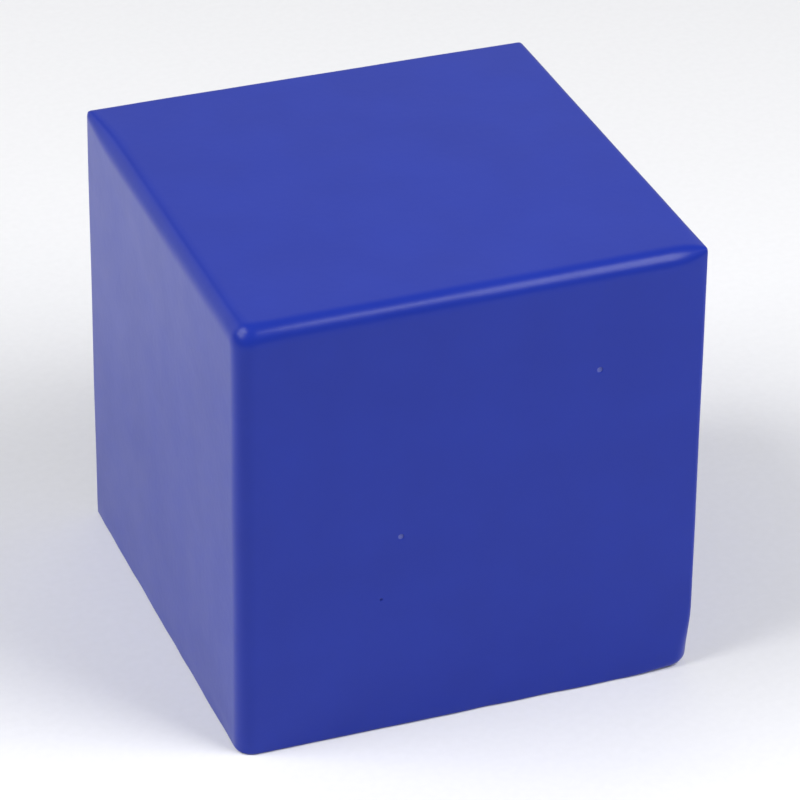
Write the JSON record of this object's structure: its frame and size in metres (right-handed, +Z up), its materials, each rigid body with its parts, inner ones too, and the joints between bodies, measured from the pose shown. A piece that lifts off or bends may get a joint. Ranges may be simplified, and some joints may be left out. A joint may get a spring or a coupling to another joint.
{
  "type": "foam stress cube",
  "caption": "Soft foam squeeze cube: a polyurethane foam core inside a satin blue skin, with softly rounded edges and a flat base. It presses down to about half its height.",
  "frame": {"origin": "centre of the flat bottom face, on the surface that the cube rests on", "axes": "+Z up and against the squeeze; X and Y square to the side faces, with -Y the front face and -X the left face of the view that the part was modelled from"},
  "size_m": [0.06, 0.06, 0.06],
  "materials": {
    "skin": "satin",
    "foam": "matte"
  },
  "bodies": {
    "base": {"lid_skin": "skin", "lower_skin": "skin", "foam_core": "foam"},
    "top": {"upper_skin": "skin"}
  },
  "joints": [
    {"name": "squeeze", "type": "slide", "parent": "base", "child": "top", "axis": [0, 0, -1], "range_m": [0, 0.027], "stiffness_N_per_m": 1800, "deforming": ["foam_core", "lower_skin", "upper_skin"]}
  ]
}
